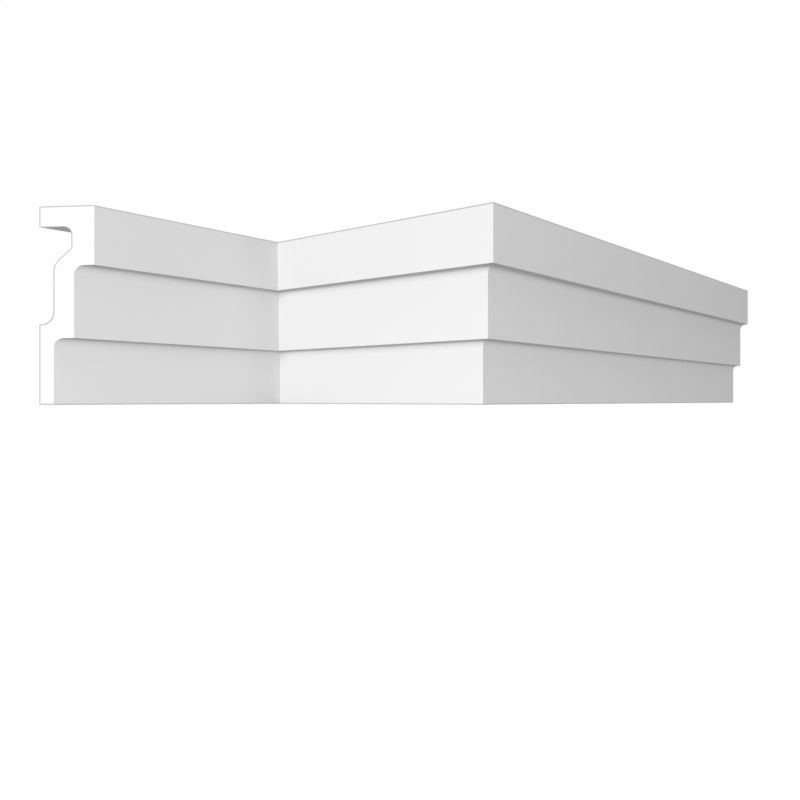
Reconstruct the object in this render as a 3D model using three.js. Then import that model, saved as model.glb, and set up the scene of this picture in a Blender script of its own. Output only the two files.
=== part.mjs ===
// A stepped cornice moulding with a hollow back, mitred round an internal and an external
// corner of a wall. Units are millimetres: +Z is up, +X runs along the wall and the front of
// the two outer lengths faces -Y. The origin is at the middle of the run, on its underside.
import * as THREE from 'three';

// Front of the section, from the underside up: each plain fascia stands further out from the
// wall than the one below it, and a small cove fills the angle under each overhang.
const HEIGHT = 200;
const FASCIAS = [
  { top: 67, projection: 13 },
  { top: 140, projection: 31 },
  { top: HEIGHT, projection: 49 },
];
const COVE_RADIUS = 9;

// Back of the section: a flat foot and a flange bear on the wall, and the recess between them
// is shallow at its waist and deeper in the channel under the flange.
const FOOT_HEIGHT = 81;
const WAIST_DEPTH = 12.6;
const SHOULDER_START = 133.6;
const SHOULDER_RADIUS = 19;
const SHOULDER_SPLAY = Math.PI / 4;
const CHANNEL_DEPTH = 28.6;
const FLANGE_THICKNESS = 21.3;
const FLANGE_FILLET = 7.5;

// The run, from left to right: lengths are taken along the wall, and a turn is the angle in
// degrees by which the wall bends before that length, towards the viewer when negative.
const LENGTHS = [
  { name: 'left_length', length: 324, turn: 0 },
  { name: 'return_length', length: 315, turn: -90 },
  { name: 'right_length', length: 830, turn: 90 },
];
const LEFT_END_CUT = 33;
const RIGHT_END_CUT = 45;
const GLUE_LINE = 0.3;

const ARC_SEGMENTS = 8;
const PRIMER_WHITE = 0xefefed;

// Closed outline of the section: x is the projection from the wall and y the height.
function sectionOutline() {
  const outline = new THREE.Shape();
  outline.moveTo(0, 0);
  outline.lineTo(FASCIAS[0].projection, 0);
  for (let step = 1; step < FASCIAS.length; step += 1) {
    const below = FASCIAS[step - 1];
    const coveX = below.projection + COVE_RADIUS;
    const coveY = below.top - COVE_RADIUS;
    outline.absarc(coveX, coveY, COVE_RADIUS, Math.PI, Math.PI / 2, true);
    outline.lineTo(FASCIAS[step].projection, below.top);
  }
  outline.lineTo(FASCIAS.at(-1).projection, HEIGHT);
  outline.lineTo(0, HEIGHT);
  addHollowBack(outline);
  return outline;
}

// Back of the outline, from the flange down: fillet, channel, splayed shoulder, waist and foot.
function addHollowBack(outline) {
  const flangeUnderside = HEIGHT - FLANGE_THICKNESS;
  outline.lineTo(0, flangeUnderside);
  const filletX = CHANNEL_DEPTH - FLANGE_FILLET;
  const filletY = flangeUnderside - FLANGE_FILLET;
  outline.absarc(filletX, filletY, FLANGE_FILLET, Math.PI / 2, 0, true);
  const shoulderX = WAIST_DEPTH + SHOULDER_RADIUS;
  const splayFootX = shoulderX - SHOULDER_RADIUS * Math.cos(SHOULDER_SPLAY);
  const splayFootY = SHOULDER_START + SHOULDER_RADIUS * Math.sin(SHOULDER_SPLAY);
  const splayRise = (CHANNEL_DEPTH - splayFootX) / Math.tan(SHOULDER_SPLAY);
  outline.lineTo(CHANNEL_DEPTH, splayFootY + splayRise);
  const splayAngle = Math.PI - SHOULDER_SPLAY;
  outline.absarc(shoulderX, SHOULDER_START, SHOULDER_RADIUS, splayAngle, Math.PI, false);
  outline.absarc(0, FOOT_HEIGHT + WAIST_DEPTH, WAIST_DEPTH, 0, -Math.PI / 2, true);
}

// An upright cut across the moulding: lean is how far it moves along the wall for each
// millimetre of projection, and setback is the half glue line that a joint takes off.
function freeCut(degrees) {
  return { lean: Math.tan(THREE.MathUtils.degToRad(degrees)), setback: 0 };
}

function mitreCut(turn) {
  const half = THREE.MathUtils.degToRad(turn / 2);
  return { lean: Math.tan(half), setback: GLUE_LINE / 2 / Math.cos(half) };
}

function primer() {
  return new THREE.MeshStandardMaterial({ color: PRIMER_WHITE, roughness: 0.7, metalness: 0 });
}

// One straight length, its back on the plane y = 0 and its wall line from x = 0 to its length.
// The section is carried from the far end to the near one, each point on its own line
// along the wall, so both ends are flat cuts and no material is left outside them.
function straightLength(name, length, start, end) {
  const settings = { depth: 1, bevelEnabled: false, curveSegments: ARC_SEGMENTS };
  const geometry = new THREE.ExtrudeGeometry(sectionOutline(), settings);
  const points = geometry.getAttribute('position');
  for (let index = 0; index < points.count; index += 1) {
    const projection = points.getX(index);
    const nearEnd = start.setback - start.lean * projection;
    const farEnd = length - end.setback + end.lean * projection;
    const along = THREE.MathUtils.lerp(farEnd, nearEnd, points.getZ(index));
    points.setXYZ(index, along, -projection, points.getY(index));
  }
  geometry.computeVertexNormals();
  const mesh = new THREE.Mesh(geometry, primer());
  mesh.name = name;
  return mesh;
}

// The lengths laid end to end: each wall hangs on the end of the one before it and is turned
// there, so a corner's two lengths share one mitre plane.
function wallRun() {
  const run = new THREE.Group();
  let wall = run;
  LENGTHS.forEach(({ name, length, turn }, place) => {
    const before = LENGTHS[place - 1];
    const after = LENGTHS[place + 1];
    const nextWall = new THREE.Group();
    nextWall.position.x = before ? before.length : 0;
    nextWall.rotation.z = THREE.MathUtils.degToRad(turn);
    const start = before ? mitreCut(turn) : freeCut(-LEFT_END_CUT);
    const end = after ? mitreCut(after.turn) : freeCut(-RIGHT_END_CUT);
    nextWall.add(straightLength(name, length, start, end));
    wall.add(nextWall);
    wall = nextWall;
  });
  return run;
}

const moulding = new THREE.Group();
const run = wallRun();
const middle = new THREE.Box3().setFromObject(run).getCenter(new THREE.Vector3());
run.position.set(-middle.x, -middle.y, 0);
moulding.add(run);

export default moulding;
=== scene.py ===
# %% [markdown]
# # A stepped cornice moulding, mitred round two corners
#
# The object is a run of plain white cornice: three flat fascias, each standing further out than
# the one below it, a small cove under each overhang and a hollow back. One section runs along
# the whole wall, so the lesson is mostly about one drawing: work out the section once, carry it
# along the wall, and cut it where the wall turns.
#
# The CAD model comes in first as a fixed frame. Its box is kept, because the finished pieces
# may not grow out of it.

# %% Load the frame
import math

import bpy
import numpy as np
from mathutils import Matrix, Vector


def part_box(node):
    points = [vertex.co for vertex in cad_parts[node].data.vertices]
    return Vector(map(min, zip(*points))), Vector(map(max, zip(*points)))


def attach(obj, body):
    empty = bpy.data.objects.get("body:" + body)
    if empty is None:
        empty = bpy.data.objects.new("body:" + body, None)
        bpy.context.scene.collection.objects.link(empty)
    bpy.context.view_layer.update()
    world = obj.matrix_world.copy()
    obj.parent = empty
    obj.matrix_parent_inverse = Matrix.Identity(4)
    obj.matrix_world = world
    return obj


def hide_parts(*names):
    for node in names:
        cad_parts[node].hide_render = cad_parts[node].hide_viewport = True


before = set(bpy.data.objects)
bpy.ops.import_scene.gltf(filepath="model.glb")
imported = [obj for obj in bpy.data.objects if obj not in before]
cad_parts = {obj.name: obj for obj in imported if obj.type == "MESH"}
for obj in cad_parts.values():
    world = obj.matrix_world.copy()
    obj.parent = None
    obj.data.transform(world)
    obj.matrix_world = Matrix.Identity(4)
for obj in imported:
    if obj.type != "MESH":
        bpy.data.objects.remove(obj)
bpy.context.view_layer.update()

# %% [markdown]
# ## The line of the wall
#
# Seen from above, the wall behind the moulding is a line with two right-angled bends. It could
# be typed in as four points, but the frame already holds them: the back of each length is one
# side of that length's box. Taking them from there keeps the fine pieces where the solids are.

# %% Wall line from the frame
MM = 0.001
NODES = ("left_length", "return_length", "right_length")
(left_low, left_high), (return_low, return_high), (right_low, right_high) = map(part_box, NODES)
wall_line = np.array([
    (left_low.x, left_high.y),
    (return_high.x, left_high.y),
    (return_high.x, right_high.y),
    (right_high.x, right_high.y),
])
print("wall line in metres:", np.round(wall_line, 4).tolist())

# %% [markdown]
# ## Sizes of the section
#
# Cut through, the moulding shows three fascias at the front, a foot and a flange that bear on the
# wall, and a recess between these two: shallow at its waist, deeper in the channel under the
# flange, with a splay of 45 degrees from one to the other. The outline could be traced as points,
# but a few named sizes can each be changed alone. Projections are taken from the wall and heights
# from the underside, both in millimetres.

# %% Sizes of the section
HEIGHT = 200.0
LOWER_TOP, MIDDLE_TOP = 67.0, 140.0
LOWER_OUT, MIDDLE_OUT, UPPER_OUT = 13.0, 31.0, 49.0
FOOT_TOP, FLANGE_UNDER = 81.0, 178.7
WAIST_IN, CHANNEL_IN = 12.6, 28.6
SPLAY_TOP = 157.5
SPLAY_FOOT = SPLAY_TOP - (CHANNEL_IN - WAIST_IN)
EASED_HEIGHT, EASED_LEAN = 1.6, 0.3
thinnest = min(LOWER_OUT, MIDDLE_OUT - WAIST_IN, UPPER_OUT - CHANNEL_IN)
print("section", UPPER_OUT, "by", HEIGHT, "mm, thinnest wall", thinnest, "mm")

# %% [markdown]
# ## Corners and their roundings
#
# A section with round stretches could be a list of many points. It is easier to read as the few
# corners of a plain polygon with a rounding radius at each. The coves and the hollow back have
# large ones. The arrises, its outer edges, are never quite sharp on a moulded piece: most are
# rounded by about a millimetre, and the upper front one was rubbed with paper, so that a narrow
# strip leans back below the top. Each rounding spares a bit of its edge for the next one, so that
# no two points of the outline fall together.

# %% Corners of the section
COVE, FLANGE_FILLET, CHANNEL_ROUND, SHOULDER = 9.0, 7.5, 3.0, 19.0
BACK_ARRIS, BOTTOM_ARRIS, OVERHANG_ARRIS, FLANGE_ARRIS = 0.6, 1.3, 0.8, 2.2
EASED_ROUND, TOP_ARRIS = 1.5, 0.3
SHARPEST, SPARE_EDGE = 0.2, 0.25
FOOT_FILLET = WAIST_IN - SPARE_EDGE
SECTION_CORNERS = np.array([
    (0.0, 0.0, BACK_ARRIS),
    (LOWER_OUT, 0.0, BOTTOM_ARRIS),
    (LOWER_OUT, LOWER_TOP, COVE),
    (MIDDLE_OUT, LOWER_TOP, OVERHANG_ARRIS),
    (MIDDLE_OUT, MIDDLE_TOP, COVE),
    (UPPER_OUT, MIDDLE_TOP, OVERHANG_ARRIS),
    (UPPER_OUT, HEIGHT - EASED_HEIGHT, EASED_ROUND),
    (UPPER_OUT - EASED_LEAN, HEIGHT, TOP_ARRIS),
    (0.0, HEIGHT, BACK_ARRIS),
    (0.0, FLANGE_UNDER, FLANGE_ARRIS),
    (CHANNEL_IN, FLANGE_UNDER, FLANGE_FILLET),
    (CHANNEL_IN, SPLAY_TOP, CHANNEL_ROUND),
    (WAIST_IN, SPLAY_FOOT, SHOULDER),
    (WAIST_IN, FOOT_TOP, FOOT_FILLET),
    (0.0, FOOT_TOP, SHARPEST),
])
# Numbers of some corners in that list.
BOTTOM_FRONT, MIDDLE_FOOT, UPPER_FOOT = 1, 3, 5
EASED_FRONT, TOP_FRONT, FLANGE_BACK = 6, 7, 9
print(len(SECTION_CORNERS), "corners, rounded by", SHARPEST, "to", SHOULDER, "mm")

# %% [markdown]
# ## Rounding the corners
#
# Each corner becomes an arc that touches both of its edges. The arc starts a little before the
# corner, and its direction turns evenly from the first edge to the second, so its points and
# their outward normals come from the same angle. A Bevel modifier could round the edges later,
# but the exact normals matter here: the fascias are large and flat, and normals averaged from the
# neighbouring faces would bend the light across all of a fascia.

# %% Rounded outline
ARC_POINTS = 13


def rounded_outline(corners):
    """Points and outward normals of a closed polygon, counter-clockwise, with rounded corners.

    At a corner P with radius r, where the outline turns by the angle turn, the arc begins
    r * tan(|turn| / 2) before P and its direction after a share k of the arc is the first
    edge's direction turned by k * turn. The centre lies r to the inner side of its start.
    """
    places = corners[:, :2]
    radii = corners[:, 2:]
    ahead = np.roll(places, -1, axis=0) - places
    ahead /= np.linalg.norm(ahead, axis=1, keepdims=True)
    coming = np.roll(ahead, 1, axis=0)
    cross = coming[:, 0] * ahead[:, 1] - coming[:, 1] * ahead[:, 0]
    turn = np.arctan2(cross, (coming * ahead).sum(axis=1))[:, None]
    start = places - coming * radii * np.tan(np.abs(turn) / 2)
    heading = np.arctan2(coming[:, 1:], coming[:, :1]) + turn * np.linspace(0, 1, ARC_POINTS)
    normals = np.stack((np.sin(heading), -np.cos(heading)), axis=-1)
    side = np.sign(turn) * radii
    centre = start - side * normals[:, 0]
    points = centre[:, None] + side[:, :, None] * normals
    return points.reshape(-1, 2), normals.reshape(-1, 2)


outline, outline_normals = rounded_outline(SECTION_CORNERS * MM)
print("outline of", len(outline), "points, up to", outline.max(axis=0), "m")

# %% [markdown]
# ## The eased edge of a sawn end
#
# After sawing, the rim of a free end is rubbed with fine paper so that it doesn't chip. Round the
# back, the foot and the top it is rubbed to a little over a millimetre, and this, with shade painted
# on it further down, draws the white end against a white room as a fine grey line. Along the
# fascias it is only a third of a millimetre, because the front has to stay crisp. A Bevel modifier
# could make it, but it would round the glued joints too. Here the inner edge of the rim is the same
# corners with each edge moved inwards by its own width, rounded again point for point.

# %% Inner edge of the rim
BACK_RIM, FRONT_RIM = 1.3 * MM, 0.3 * MM
RIM_DEPTH = 0.35 * MM


def inset_corners(corners, depths):
    """The same corners with every edge moved inwards by a depth of its own.

    Where an edge of depth d and normal a meets one of depth e and normal b, and c = a.b, the
    corner moves back by ((d - c e) a + (e - c d) b) / (1 - c c), which keeps both edges parallel.
    Hollow roundings grow by the smaller depth and others shrink by it, as far as edges allow.
    """
    places = corners[:, :2]
    ahead = np.roll(places, -1, axis=0) - places
    ahead /= np.linalg.norm(ahead, axis=1, keepdims=True)
    after = np.stack((ahead[:, 1], -ahead[:, 0]), axis=1)
    before = np.roll(after, 1, axis=0)
    e = depths[:, None]
    d = np.roll(e, 1, axis=0)
    c = (before * after).sum(axis=1, keepdims=True)
    moved = places - ((d - c * e) * before + (e - c * d) * after) / (1 - c * c)
    cross = before[:, :1] * after[:, 1:] - before[:, 1:] * after[:, :1]
    change = np.sign(-cross) * np.minimum(d, e)
    radii = np.maximum(corners[:, 2:] + change, SHARPEST * MM)
    edges = np.linalg.norm(np.roll(moved, -1, axis=0) - moved, axis=1, keepdims=True)
    shorter = np.minimum(edges, np.roll(edges, 1, axis=0))
    longest = (shorter - SPARE_EDGE * MM) * (1 + c) / np.abs(cross)
    return np.hstack((moved, np.minimum(radii, longest)))


edge_number = np.arange(len(SECTION_CORNERS))
is_front_edge = (edge_number >= BOTTOM_FRONT) & (edge_number < TOP_FRONT)
rim_widths = np.where(is_front_edge, FRONT_RIM, BACK_RIM)
inner_outline, _ = rounded_outline(inset_corners(SECTION_CORNERS * MM, rim_widths))
print("rim of a sawn end", np.unique(rim_widths), "m wide")

# %% [markdown]
# ## Shader nodes as sums
#
# A finish in Blender is a net of nodes. It could be wired by hand, one link at a time, but it is
# easier to follow as sums. The class below wraps a socket, so that `1 - mask * 0.2` adds the Math
# nodes it needs, and one function adds any other node from its type, its settings and what goes
# into its sockets.

# %% Sums of sockets


class Shade:
    """A socket that can be added, subtracted and multiplied with numbers and other sockets."""

    def __init__(self, tree, socket):
        self.tree = tree
        self.socket = socket

    def _sum(self, operation, first, second):
        """One Math node that joins two values, each a number or a socket."""
        return add_node(self.tree, "ShaderNodeMath", {"operation": operation}, {0: first, 1: second})

    def __add__(self, other):
        return self._sum("ADD", self, other)

    def __sub__(self, other):
        return self._sum("SUBTRACT", self, other)

    def __rsub__(self, other):
        return self._sum("SUBTRACT", other, self)

    def __mul__(self, other):
        return self._sum("MULTIPLY", self, other)

    __radd__ = __add__
    __rmul__ = __mul__


def add_node(tree, kind, settings, sockets, output=0):
    """Adds a node, sets its settings, then fills its sockets by name or number."""
    node = tree.nodes.new(kind)
    for name, value in settings.items():
        setattr(node, name, value)
    for name, value in sockets.items():
        if isinstance(value, Shade):
            tree.links.new(value.socket, node.inputs[name])
        else:
            node.inputs[name].default_value = value
    return Shade(tree, node.outputs[output]) if node.outputs else None


def mixed(tree, share, first, second):
    """The colour first where share is 0, and second where it is 1."""
    sockets = {0: share, 6: first, 7: second}
    return add_node(tree, "ShaderNodeMix", {"data_type": "RGBA"}, sockets, 2)


def grey(level):
    """An even grey as the four numbers of a colour socket."""
    return (level, level, level, 1.0)


print("sockets can be added, subtracted, multiplied and mixed")

# %% [markdown]
# ## What all the finishes share
#
# Every finish here is one Principled shader with a few patterns that feed it. The patterns could be
# painted as images, but then each length would need to be unfolded first. Noise that is read in
# Object coordinates needs no unfolding, and it runs on over a mitre without a seam.

# %% Finish of a surface
NOISE_MIDDLE = 0.5


class Finish:
    """A material on the Principled shader, read in Object coordinates, which are metres here."""

    def __init__(self, name, **plain):
        self.material = bpy.data.materials.new(name)
        self.material.use_nodes = True
        self.tree = self.material.node_tree
        self.shader = self.tree.nodes["Principled BSDF"]
        self.place = self.node("ShaderNodeTexCoord", {}, {}, "Object")
        for socket, value in plain.items():
            self.shader.inputs[socket.replace("_", " ")].default_value = value

    def node(self, kind, settings, sockets, output=0):
        """Any node by its type, its settings and its sockets, as one of its outputs."""
        return add_node(self.tree, kind, settings, sockets, output)

    def noise(self, size, detail=2.0, stretch=(1.0, 1.0, 1.0), place=None):
        """Noise from 0 to 1 whose lumps are about size metres across, longer where stretch is small."""
        sockets = {"Vector": place or self.place, "Scale": stretch}
        stretched = self.node("ShaderNodeMapping", {}, sockets)
        sockets = {"Vector": stretched, "Scale": 1 / size, "Detail": detail}
        return self.node("ShaderNodeTexNoise", {}, sockets, "Fac")

    def cells(self, size):
        """Distance to the nearest of many scattered points, as a share of their spacing size."""
        sockets = {"Vector": self.place, "Scale": 1 / size}
        return self.node("ShaderNodeTexVoronoi", {}, sockets, "Distance")

    def height(self):
        """Height above the underside in metres, the third Object coordinate."""
        return self.node("ShaderNodeSeparateXYZ", {}, {"Vector": self.place}, "Z")

    def attribute(self, name, output="Fac"):
        """A value that the mesh holds for each point."""
        return self.node("ShaderNodeAttribute", {"attribute_name": name}, {}, output)

    def step(self, value, low, high):
        """0 below low, 1 above high and a smooth rise between them."""
        sockets = {"Value": value, "From Min": low, "From Max": high}
        return self.node("ShaderNodeMapRange", {"interpolation_type": "SMOOTHSTEP"}, sockets)

    def mix(self, share, first, second):
        """The colour first where share is 0, and second where it is 1."""
        return mixed(self.tree, share, first, second)

    def bump(self, height, depth, strength):
        """Normals as if the surface rose by height times depth, in metres, weakened by strength."""
        sockets = {"Height": height, "Distance": depth, "Strength": strength}
        return self.node("ShaderNodeBump", {}, sockets, "Normal")

    def feed(self, socket, value):
        """Links a value to one of the shader's own sockets."""
        self.tree.links.new(value.socket, self.shader.inputs[socket])


patterns = [name for name in vars(Finish) if not name.startswith("_")]
print("a finish is put together from", patterns)

# %% [markdown]
# ## White primer
#
# The front is sprayed with a matt white primer. One plain colour would do from afar, and yet the
# coat isn't even. It is a little thicker in soft patches some centimetres across, and it has a fine
# grain from the spray. Low down the white is painted lighter, as painted light against the shade of
# the overhangs. Painted shade greys the undersides of the overhangs, the top and bottom arrises, the
# sawn rims and the inner corners, mixing the white towards a grey; that share is worked out on the
# section later and comes in as an attribute. The attribute joint is the distance from a glued
# mitre, which shows as a hair line.

# %% Primer finish
# The last grey is both the bare skin and the grey of painted shade.
LEAN_WHITE, FULL_WHITE, SKIN_AND_SHADE_GREY = 0.790, 0.845, 0.46
PATCH, SPRAY_GRAIN = 60 * MM, 0.7 * MM
# Painted light: the white is lighter low down, against the shade of the overhangs.
FOOT_PAINTED_LIGHT, PAINTED_LIGHT_HEIGHT = 0.56, 150 * MM
GLUE_EDGE, GLUE_SHOWS = (0.10 * MM, 0.35 * MM), 0.27
PRIMER_SHINE, PRIMER_MATT = 0.35, 0.62
PATCH_VARIES, GRAIN_VARIES, SKIN_SMOOTHER = 0.10, 0.08, 0.06
GRAIN_DEPTH, GRAIN_STRENGTH = 0.05 * MM, 0.25


def white_primer():
    """Matt white over a grey skin, with painted light low down and painted shade.

    The white goes from lean to full by a share of how low the place is, painted light against the
    shade of the overhangs, plus the rest times the patches, then to grey by the painted shade share
    and along the glue. Roughness follows the patches and the grain, and the grain is raised a little.
    """
    finish = Finish("white_primer", Specular_IOR_Level=PRIMER_SHINE)
    patch = finish.noise(PATCH, detail=3.0)
    grain = finish.noise(SPRAY_GRAIN)
    # Share of painted shade, worked out on the section.
    thin = finish.attribute("thin")
    glue = 1 - finish.step(finish.attribute("joint"), *GLUE_EDGE)
    # Painted light: 1 at the foot, fading to 0 higher up.
    low = 1 - finish.step(finish.height(), 0.0, PAINTED_LIGHT_HEIGHT)
    patches_and_painted_light = FOOT_PAINTED_LIGHT * low + (1 - FOOT_PAINTED_LIGHT) * patch
    coat = finish.mix(patches_and_painted_light, grey(LEAN_WHITE), grey(FULL_WHITE))
    coat = finish.mix(thin, coat, grey(SKIN_AND_SHADE_GREY))
    coat = finish.mix(glue * GLUE_SHOWS, coat, grey(SKIN_AND_SHADE_GREY))
    finish.feed("Base Color", coat)
    varied = (patch - NOISE_MIDDLE) * PATCH_VARIES + (grain - NOISE_MIDDLE) * GRAIN_VARIES
    finish.feed("Roughness", PRIMER_MATT + varied - thin * SKIN_SMOOTHER)
    finish.feed("Normal", finish.bump(grain, GRAIN_DEPTH, GRAIN_STRENGTH))
    return finish.material


primed = white_primer()
print("finish", primed.name, "with", len(primed.node_tree.nodes), "nodes")

# %% [markdown]
# ## Moulded back
#
# The back never shows once the moulding is up, so it stays as it left the mould: the same white, a
# touch duller, with shade painted under the flange. The foam was drawn along the mould as it rose,
# which left long faint streaks, a slightly rippled surface and here and there a pinhole from an air
# bubble, whose pit is darkened with painted shade. Streaks in Object coordinates would cross the
# return instead of following it, so they read the attribute run: the place along the wall, out and up.

# %% Back finish
# The pinholes' grey is painted shade in their pits.
BACK_LEAN, BACK_FULL, PINHOLE_SHADE_GREY = 0.75, 0.79, 0.45
BACK_PATCH, STREAK, RIPPLE, BUBBLE_SPACING = 45 * MM, 6 * MM, 9 * MM, 14 * MM
STREAK_DRAWN, RIPPLE_DRAWN = (0.04, 1.0, 1.0), (0.35, 1.0, 1.0)
STREAK_EDGE, STREAK_SHOWS = (0.52, 0.72), 0.12
PINHOLE_EDGE, PINHOLE_SHOWS = (0.05, 0.075), 0.5
BACK_SHINE, BACK_MATT = 0.25, 0.72
RIPPLE_VARIES, STREAK_VARIES = 0.12, 0.10
RIPPLE_SHARE, STREAK_SHARE = 0.6, 0.4
BACK_DEPTH, BACK_STRENGTH = 0.25 * MM, 0.4


def moulded_back():
    """Dull white, drawn along the wall.

    The colour goes from lean to full with the patches, then towards bare skin along the streaks,
    to a darker grey of painted shade in the pinholes and to grey by the painted shade share. Roughness
    and the raised surface follow the ripples and the streaks, and pinholes are sunk.
    """
    finish = Finish("moulded_back", Specular_IOR_Level=BACK_SHINE)
    run = finish.attribute("run", "Vector")
    patch = finish.noise(BACK_PATCH, detail=4.0)
    streak = finish.noise(STREAK, detail=4.0, stretch=STREAK_DRAWN, place=run)
    ripple = finish.noise(RIPPLE, detail=3.0, stretch=RIPPLE_DRAWN, place=run)
    pinhole = 1 - finish.step(finish.cells(BUBBLE_SPACING), *PINHOLE_EDGE)
    coat = finish.mix(patch, grey(BACK_LEAN), grey(BACK_FULL))
    coat = finish.mix(finish.step(streak, *STREAK_EDGE) * STREAK_SHOWS, coat, grey(SKIN_AND_SHADE_GREY))
    coat = finish.mix(pinhole * PINHOLE_SHOWS, coat, grey(PINHOLE_SHADE_GREY))
    # Painted shade under the flange, by the share on the mesh.
    coat = finish.mix(finish.attribute("thin"), coat, grey(SKIN_AND_SHADE_GREY))
    finish.feed("Base Color", coat)
    varied = (ripple - NOISE_MIDDLE) * RIPPLE_VARIES - (streak - NOISE_MIDDLE) * STREAK_VARIES
    finish.feed("Roughness", BACK_MATT + varied)
    raised = ripple * RIPPLE_SHARE + streak * STREAK_SHARE - pinhole
    finish.feed("Normal", finish.bump(raised, BACK_DEPTH, BACK_STRENGTH))
    return finish.material


unprimed = moulded_back()
print("finish", unprimed.name, "with", len(unprimed.node_tree.nodes), "nodes")

# %% [markdown]
# ## Sawn core
#
# The free ends show the core: whiter than the skin, with fine closed cells and faint upright saw
# marks. The marks could be cut into the mesh, but they are far too fine for that. A noise that is
# stretched upwards draws them, and small scattered points draw the cells.

# %% Core finish
CORE_LEAN, CORE_FULL = 0.82, 0.85
FOAM_CELL, SAW_MARK, SAW_DRAWN = 0.6 * MM, 1.6 * MM, (1.0, 1.0, 0.04)
CORE_SHINE, CORE_MATT, SAW_VARIES = 0.15, 0.80, 0.12
SAW_SHARE, CELL_SHARE = 0.5, 0.5
CORE_DEPTH, CORE_STRENGTH = 0.08 * MM, 0.3


def sawn_core():
    """Clean white foam: colour and roughness follow the saw marks, and marks and cells are raised."""
    finish = Finish("sawn_core", Specular_IOR_Level=CORE_SHINE)
    cells = finish.cells(FOAM_CELL)
    saw = finish.noise(SAW_MARK, stretch=SAW_DRAWN)
    finish.feed("Base Color", finish.mix(saw, grey(CORE_LEAN), grey(CORE_FULL)))
    finish.feed("Roughness", CORE_MATT + (saw - NOISE_MIDDLE) * SAW_VARIES)
    raised = saw * SAW_SHARE + cells * CELL_SHARE
    finish.feed("Normal", finish.bump(raised, CORE_DEPTH, CORE_STRENGTH))
    return finish.material


sawn = sawn_core()
finishes = [primed, unprimed, sawn]
PRIMED, BACK, SAWN = range(len(finishes))
print("finish", sawn.name, "with", len(sawn.node_tree.nodes), "nodes")

# %% [markdown]
# ## Carrying the section along the wall
#
# A straight length is a surface with two parameters: the place on the outline and the share of
# the way along the wall. Each outline point runs on its own straight line, from where the first
# cut meets that line to where the second cut does, so the cuts come out flat and the two lengths
# at a corner meet on one mitre plane. A boolean would do it too, but it would leave long slivers
# and lose the exact normals.

# %% Walls and cuts


class Wall:
    """A straight stretch of wall from one point to the next, seen from above."""

    def __init__(self, start, end):
        self.start = start
        self.length = np.linalg.norm(end - start)
        self.forward = (end - start) / self.length
        self.front = np.array((self.forward[1], -self.forward[0]))

    def points(self, along, section):
        """Room points: along the wall, out from it by the projection and up by the height."""
        flat = self.start + along[..., None] * self.forward + section[:, :1] * self.front
        heights = np.broadcast_to(section[:, 1], along.shape)
        return np.concatenate((flat, heights[..., None]), axis=-1)

    def run(self, points):
        """The same places as the wall measures them: along it, out from it and up."""
        flat = points[..., :2] - self.start
        return np.stack((flat @ self.forward, flat @ self.front, points[..., 2]), axis=-1)

    def normals(self, section_normals):
        """Normals of the section turned into the room."""
        return np.column_stack((section_normals[:, :1] * self.front, section_normals[:, 1]))


class Cut:
    """A flat upright cut that faces along the wall (1) or back (-1), sawn free or glued."""

    def __init__(self, place, lean, facing, sawn):
        self.place = place
        self.lean = lean
        self.facing = facing
        self.sawn = sawn

    def along(self, section):
        """Where each point of a section meets the cut: its place plus lean times the projection."""
        return self.place + self.lean * section[:, 0]

    def is_hollow(self):
        """True where the front is shorter than the back, as at an inner corner."""
        return self.facing * self.lean < 0

    def normal(self, wall):
        """Outward normal of the plane along = place + lean * projection: forward - lean * front."""
        flat = self.facing * (wall.forward - self.lean * wall.front)
        return np.append(flat / np.linalg.norm(flat), 0.0)


print("walls are", np.round(np.linalg.norm(np.diff(wall_line, axis=0), axis=1), 4), "m long")

# %% [markdown]
# ## Rings along the side and round the rim
#
# Along the side, the rings are evenly spaced stations. At a sawn end the surface turns from the
# side to the face. One flat chamfer could do that, but it would glint all at once, so there are a
# few more rings instead: for each point, a curve starts on the side, is drawn towards the sharp
# corner that the saw left, and ends on the face. The normals turn with it.

# %% Rings of one length
STATION = 12 * MM
RIM_RINGS = 4


def side_rings(wall, near, far):
    """Places along the wall: near + s * (far - near) for shares s from 0 to 1, short of the rims."""
    first = near.along(outline) + RIM_DEPTH * near.sawn
    last = far.along(outline) - RIM_DEPTH * far.sawn
    share = np.linspace(0, 1, math.ceil(wall.length / STATION) + 1)[:, None]
    return first + share * (last - first)


def rim_rings(wall, cut):
    """Rings from the side round the eased edge to the sawn face, and their normals.

    With t from 0 to 1, a point is (1 - t)^2 side + 2 t (1 - t) corner + t^2 face, and its
    normal lies a share t of the way from the side's normal to the face's. A glued cut has none.
    """
    t = np.linspace(0, 1, RIM_RINGS * cut.sawn + 1)[1:, None, None]
    along = cut.along(outline)
    side = wall.points(along - cut.facing * RIM_DEPTH, outline)
    corner = wall.points(along, outline)
    face = wall.points(cut.along(inner_outline), inner_outline)
    rings = (1 - t) ** 2 * side + 2 * t * (1 - t) * corner + t ** 2 * face
    normals = (1 - t) * wall.normals(outline_normals) + t * cut.normal(wall)
    return rings, normals / np.linalg.norm(normals, axis=-1, keepdims=True)


print("a station every", STATION, "m and", RIM_RINGS, "rings round a sawn edge")

# %% [markdown]
# ## From rings to a closed mesh
#
# The rings lie in one row, from the near face along the side to the far face, so a piece is one
# grid that closes on itself round the outline, and a many-sided face fills each end. Loops could be
# bridged one pair at a time, but a table of point numbers gives the faces of the whole grid at
# once, in the order that faces outwards.

# %% Faces of a grid
around = len(outline)


def grid_faces(rings):
    """Quads between neighbouring rings, each ring closed on itself."""
    row = np.arange(rings - 1)[:, None] * around
    place = np.arange(around)
    following = np.roll(place, -1)
    corners = (row + place, row + around + place, row + around + following, row + following)
    return np.stack(corners, axis=-1).reshape(-1, 4)


print(len(grid_faces(2)), "quads between two rings")
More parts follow.
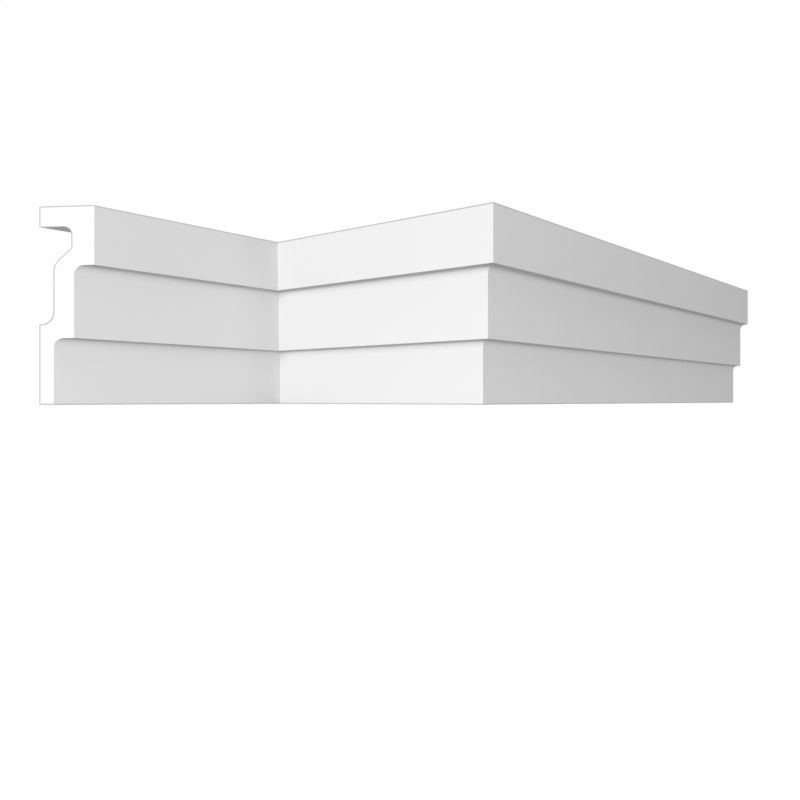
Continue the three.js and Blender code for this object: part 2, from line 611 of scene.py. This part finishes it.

# %% [markdown]
# ## Where shade is painted
#
# The shade could be painted on by hand, but worked out on the section it stays in place when a
# size changes. Outline points come in groups, one for each corner, so the number of a point tells
# where it lies, and its normal tells which way it faces. Shade is painted on the eased strip at
# the top and on the bottom arris, most at the middle of its arc. On the underside of an overhang
# it fades out down the cove, as the surface turns upright, and at the back it shows a little under
# the flange. Round a sawn rim it is painted too, but not along the fascias.

# %% Places on the outline
UNDER_FADE = 7
corner_number = np.arange(around) // ARC_POINTS
arc_share = np.tile(np.linspace(0, 1, ARC_POINTS), len(SECTION_CORNERS))
faces_down = np.clip(-outline_normals[:, 1], 0, 1)
is_back = corner_number >= FLANGE_BACK
is_front = (corner_number > BOTTOM_FRONT) & (corner_number < TOP_FRONT)
is_bottom = corner_number == BOTTOM_FRONT
is_eased = corner_number == EASED_FRONT
is_top = corner_number == TOP_FRONT
on_bottom = is_bottom * np.sqrt(np.sin(np.pi * arc_share).clip(0))
on_top = is_eased * arc_share + is_top * (1 - arc_share)
on_under = is_front * faces_down ** UNDER_FADE
under_flange = is_back * faces_down
print(int(is_back.sum()), "of", around, "outline points lie on the back")

# %% Painted shade round the outline
# Painted shade on a sawn rim and under the flange.
RIM_PAINTED_SHADE, FLANGE_PAINTED_SHADE = 0.78, 0.3


def painted_shade_round(top, under, bottom):
    """Share of painted shade round the outline, on a side and on a sawn rim.

    On a side it is the sum of the shaded places, each times its own share. On a rim it is a fixed
    share, but the front keeps what the side has, and the arrises above and below fade towards the
    front.
    """
    side = top * on_top + under * on_under + bottom * on_bottom + FLANGE_PAINTED_SHADE * under_flange
    rim = np.where(is_front, side, RIM_PAINTED_SHADE)
    rim = np.where(is_top, RIM_PAINTED_SHADE * arc_share, rim)
    rim = np.where(is_bottom, RIM_PAINTED_SHADE * (1 - arc_share), rim)
    return side, rim


shade_on_side, _ = painted_shade_round(top=1.0, under=1.0, bottom=1.0)
print(int((shade_on_side > 0).sum()), "of", around, "outline points have a thin coat")

# %% [markdown]
# ## Painted shade in the inner corner
#
# Where two lengths meet in an inner corner, shade is painted at the foot of each fascia and
# under the overhangs. The distance from a glued cut tells how near the corner is, and it also draws
# the hair line of glue in the primer.

# %% Distance from a joint
FAR = 1.0
# How much shade is painted in an inner corner, and over what distance it fades.
CORNER_PAINTED_SHADE, CORNER_FADE = 0.13, 90 * MM
is_fascia_foot = np.isin(corner_number, (BOTTOM_FRONT, MIDDLE_FOOT, UPPER_FOOT))
in_corner = np.maximum(is_fascia_foot, on_under)


def joint_gap(run, cut):
    """Distance along the wall from a glued cut, or far off where the cut is a free end."""
    return np.abs(run[..., 0] - cut.along(outline)) + FAR * cut.sawn


def corner_thin(run, cut):
    """Painted shade in an inner corner, at fascia feet and undersides, fading with e^(-distance /
    fade).
    """
    fade = np.exp(-joint_gap(run, cut) / CORNER_FADE)
    return CORNER_PAINTED_SHADE * cut.is_hollow() * fade * in_corner


print(int((in_corner > 0).sum()), "of", around, "outline points are leaner in an inner corner")

# %% [markdown]
# ## Building one length
#
# A length is the rows of its near rim, its side and its far rim, one after the other. What the
# finishes read goes along with the points: how much shade is painted, how far off the nearest glued
# joint lies, and the place as the wall measures it. Finishes could be given face by face in edit mode.
# Here a face takes its finish from its place in the grid.

# %% Rows of one length


def between_rims(near_rim, side, far_rim):
    """Rows of the near rim, turned to run from face to side, then of the side, then of the far rim."""
    return np.concatenate((near_rim[::-1], side, far_rim))


def length_rows(wall, near, far, coat):
    """Points, normals, attributes and finishes of one length, row by row from face to face."""
    side = wall.points(side_rings(wall, near, far), outline)
    side_normals = np.broadcast_to(wall.normals(outline_normals), side.shape)
    near_rim, near_normals = rim_rings(wall, near)
    far_rim, far_normals = rim_rings(wall, far)
    points = between_rims(near_rim, side, far_rim)
    normals = between_rims(near_normals, side_normals, far_normals)
    run = wall.run(points)
    point_rows = (len(near_rim), len(side), len(far_rim))
    # Painted shade round the outline, with more painted in the inner corners.
    side_thin, rim_thin = painted_shade_round(**coat)
    thin = np.repeat((rim_thin, side_thin, rim_thin), point_rows, axis=0)
    thin = thin + corner_thin(run, near) + corner_thin(run, far)
    joint = np.minimum(joint_gap(run, near), joint_gap(run, far))
    side_finish = np.where(is_back, BACK, PRIMED)
    rim_finish = np.full(around, PRIMED)
    face_rows = (len(near_rim), len(side) - 1, len(far_rim))
    slots = np.repeat((rim_finish, side_finish, rim_finish), face_rows, axis=0)
    return points, normals, {"thin": thin, "joint": joint, "run": run}, slots


print("a row of a length has", around, "points")

# %% [markdown]
# ## From rows to an object
#
# Points and faces could be added one by one with BMesh, which is slow. from_pydata takes all of
# them, and foreach_set takes what belongs to all faces or all points at once. The exact normals go
# in last, because a change to the mesh would drop them. The two end faces get none of their own,
# which leaves them flat.

# %% Mesh of one length


def set_attribute(mesh, name, values):
    """A number or a vector for every point, by the shape of values."""
    kind, field = ("FLOAT_VECTOR", "vector") if values.ndim == 3 else ("FLOAT", "value")
    layer = mesh.attributes.new(name, kind, "POINT")
    layer.data.foreach_set(field, np.ascontiguousarray(values, dtype=np.float32).ravel())


def moulding_length(name, wall, near, far, coat):
    """Object of one length: quads between its rows and a many-sided face at each end."""
    points, normals, attributes, slots = length_rows(wall, near, far, coat)
    quads = grid_faces(len(points))
    near_end = np.arange(around)
    far_end = points.shape[0] * around - 1 - near_end
    mesh = bpy.data.meshes.new(name)
    faces = [*quads.tolist(), near_end.tolist(), far_end.tolist()]
    mesh.from_pydata(points.reshape(-1, 3).tolist(), [], faces)
    for material in finishes:
        mesh.materials.append(material)
    mesh.polygons.foreach_set("material_index", np.append(slots, (SAWN, SAWN)).astype(np.int32))
    mesh.polygons.foreach_set("use_smooth", np.arange(len(faces)) < len(quads))
    for attribute, values in attributes.items():
        set_attribute(mesh, attribute, values)
    flat_ends = np.zeros((2 * around, 3))
    loop_normals = np.concatenate((normals.reshape(-1, 3)[quads.ravel()], flat_ends))
    mesh.normals_split_custom_set(loop_normals.tolist())
    piece = bpy.data.objects.new(name, mesh)
    bpy.context.scene.collection.objects.link(piece)
    return piece


print("a length carries", len(finishes), "finishes")

# %% [markdown]
# ## The three lengths
#
# Where the wall turns, both lengths are cut on the line that halves the corner: the cut leans by
# the tangent of half the turn. The free left end is sawn at a slant and shows its section to the
# front, and the free right end is mitred for one more internal corner. They could be copies of one
# long piece, but each has two cuts of its own. Each also has its own share of painted shade at the
# top, below the overhangs and at the bottom.

# %% Cut and place the lengths
LEFT_SLANT, RIGHT_MITRE = math.radians(33), math.radians(45)
walls = np.diff(wall_line, axis=0)
bearing = np.arctan2(walls[:, 1], walls[:, 0])
mitre = np.tan(np.diff(bearing) / 2)
start_leans = np.concatenate(([math.tan(LEFT_SLANT)], -mitre))
end_leans = np.concatenate((mitre, [-math.tan(RIGHT_MITRE)]))
PIECES = ("left_moulding", "return_moulding", "right_moulding")
# Shares of painted shade on each length: top arris, overhang undersides and bottom arris.
PAINTED_SHADES = (
    {"top": 0.43, "under": 0.80, "bottom": 0.60},
    {"top": 0.82, "under": 1.00, "bottom": 0.74},
    {"top": 0.43, "under": 0.78, "bottom": 0.62},
)
last_place = len(PIECES) - 1
for place, (piece_name, node) in enumerate(zip(PIECES, NODES)):
    wall = Wall(wall_line[place], wall_line[place + 1])
    near = Cut(0.0, start_leans[place], -1, place == 0)
    far = Cut(wall.length, end_leans[place], 1, place == last_place)
    piece = moulding_length(piece_name, wall, near, far, PAINTED_SHADES[place])
    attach(piece, "root")
    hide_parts(node)
    print(piece_name, len(piece.data.vertices), "points,", len(piece.data.polygons), "faces")

# %% [markdown]
# ## Floor
#
# A wide white floor carries the moulding on its underside. The eye is only a few millimetres above
# it, so it fills the lower half of the picture. A real studio lights such a floor from below, to
# keep it white without a shadow. A white floor under the lamps would do as well, but it would take
# shadows and light the fascias from below more than wanted. So this one is dark and glows, and
# only the eye sees it: the light on the moulding comes from the room and the boxes alone.

# %% Pale floor
FLOOR_HALF = 30.0
FLOOR_GLOW = 0.978
FLOOR_LEAN, FLOOR_FULL, FLOOR_MATT = 0.05, 0.06, 0.9
FLOOR_PATCH = 0.8


def pale_floor():
    """A white glow, the same all over, on a dark matt ground with wide faint patches."""
    glow = {"Emission_Color": grey(1.0), "Emission_Strength": FLOOR_GLOW}
    finish = Finish("pale_floor", Specular_IOR_Level=0.0, Roughness=FLOOR_MATT, **glow)
    patch = finish.noise(FLOOR_PATCH, detail=2.0)
    finish.feed("Base Color", finish.mix(patch, grey(FLOOR_LEAN), grey(FLOOR_FULL)))
    finish.material.cycles.emission_sampling = "NONE"
    return finish.material


floor_mesh = bpy.data.meshes.new("floor")
floor_corners = FLOOR_HALF * np.array([(-1, -1, 0), (1, -1, 0), (1, 1, 0), (-1, 1, 0)])
floor_mesh.from_pydata(floor_corners.tolist(), [], [(0, 1, 2, 3)])
floor_mesh.materials.append(pale_floor())
floor = bpy.data.objects.new("floor", floor_mesh)
bpy.context.scene.collection.objects.link(floor)
floor.visible_diffuse = False
floor.visible_glossy = False
floor.visible_shadow = False
print("floor", 2 * FLOOR_HALF, "m wide")

# %% [markdown]
# ## The eye
#
# The picture was taken level, from just above the plane of the underside: the lower edges are
# nearly one straight line and the upper ones fall away to both sides. A camera could be moved by
# hand until it fits, but four measures fix it: the internal corner of the top fascia lies so far
# from the eye and so far to its left, and the eye looks at so many degrees off the wall from so
# high up.

# %% Camera
IMAGE_SIDE = 800
FOCAL_LENGTH = 800
SENSOR = 36.0
NEAREST_SEEN = 1 * MM
LOOK_OFF_WALL = math.radians(39.552)
CORNER_AWAY = 987.674 * MM
CORNER_LEFT = 151.034 * MM
EYE_HEIGHT = 4.859 * MM
look = np.array((math.cos(LOOK_OFF_WALL), math.sin(LOOK_OFF_WALL)))
leftwards = np.array((-look[1], look[0]))
inner_corner = np.array((return_low.x, left_low.y))
eye = inner_corner - CORNER_AWAY * look - CORNER_LEFT * leftwards
lens = bpy.data.cameras.new("eye")
lens.sensor_width = SENSOR
lens.lens = SENSOR * FOCAL_LENGTH / IMAGE_SIDE
lens.clip_start = NEAREST_SEEN
camera = bpy.data.objects.new("eye", lens)
camera.location = (*eye, EYE_HEIGHT)
camera.rotation_euler = (math.pi / 2, 0.0, LOOK_OFF_WALL - math.pi / 2)
bpy.context.scene.collection.objects.link(camera)
bpy.context.scene.camera = camera
bpy.context.scene.view_settings.view_transform = "Standard"
print("eye at", np.round(camera.location, 4).tolist())

# %% [markdown]
# ## A white room
#
# A white object on white is drawn by light alone. About half of it comes evenly from all sides, as
# in a white room, and keeps the undersides from going black. The world could be one colour, but
# then the ground of the picture would be as dim as the room. So the world is white paper to the
# eye, and an even grey to everything else.

# %% Room light
ROOM = 0.43
PAPER_SEEN = 1.005
world = bpy.data.worlds.new("studio")
bpy.context.scene.world = world
world.use_nodes = True
world.node_tree.nodes.clear()


def studio_world(tree):
    """White paper for the eye, and an even dim room for the light that reaches the object."""
    seen = add_node(tree, "ShaderNodeLightPath", {}, {}, "Is Camera Ray")
    colour = mixed(tree, seen, grey(ROOM), grey(PAPER_SEEN))
    background = add_node(tree, "ShaderNodeBackground", {}, {"Color": colour, "Strength": 1.0})
    add_node(tree, "ShaderNodeOutputWorld", {}, {"Surface": background})


studio_world(world.node_tree)
print("room light", ROOM, "from all sides")

# %% [markdown]
# ## Soft boxes
#
# The return is the brightest front, the left length comes next and the right one falls off with
# distance. A key light to the left of the eye gives that order, a side light fills the return and a
# weak front light fills the two long lengths. Lamps are often hung high, but these three stand
# about as low as the moulding, so that the coves shade by their turn alone and no overhang throws
# a hard shadow. The fourth hangs high behind and reaches only the tops and the backs.

# %% Lamps round the run
BOX_DISTANCE = 2.2
BOX_SIZE = 0.3
RUN_MIDDLE = np.array((0.0, 0.0, HEIGHT / 2 * MM))
SOFT_BOXES = {
    "key": {"azimuth": -62, "elevation": 0, "power": 15.1},
    "side": {"azimuth": -89, "elevation": 2.5, "power": 11.0},
    "front": {"azimuth": 0, "elevation": 0, "power": 4.3},
    "behind": {"azimuth": 150, "elevation": 50, "power": 27.0},
}


def soft_box(name, azimuth, elevation, power):
    """A square area light on a sphere round the middle of the run, turned to face it.

    Azimuth 0 stands in front of the long lengths and -90 in front of the return.
    """
    turn = math.radians(azimuth)
    rise = math.radians(elevation)
    level = math.cos(rise)
    towards = np.array((math.sin(turn) * level, -math.cos(turn) * level, math.sin(rise)))
    lamp = bpy.data.lights.new(name, "AREA")
    lamp.shape = "SQUARE"
    lamp.size = BOX_SIZE
    lamp.energy = power
    box = bpy.data.objects.new(name, lamp)
    box.location = RUN_MIDDLE + towards * BOX_DISTANCE
    box.rotation_euler = (math.pi / 2 - rise, 0.0, turn)
    box.visible_camera = False
    bpy.context.scene.collection.objects.link(box)


for box_name, setting in SOFT_BOXES.items():
    soft_box(box_name, **setting)
print("soft boxes:", {name: box["power"] for name, box in SOFT_BOXES.items()}, "watts")

# %% [markdown]
# The finished pieces may not stand out of the CAD model's box.
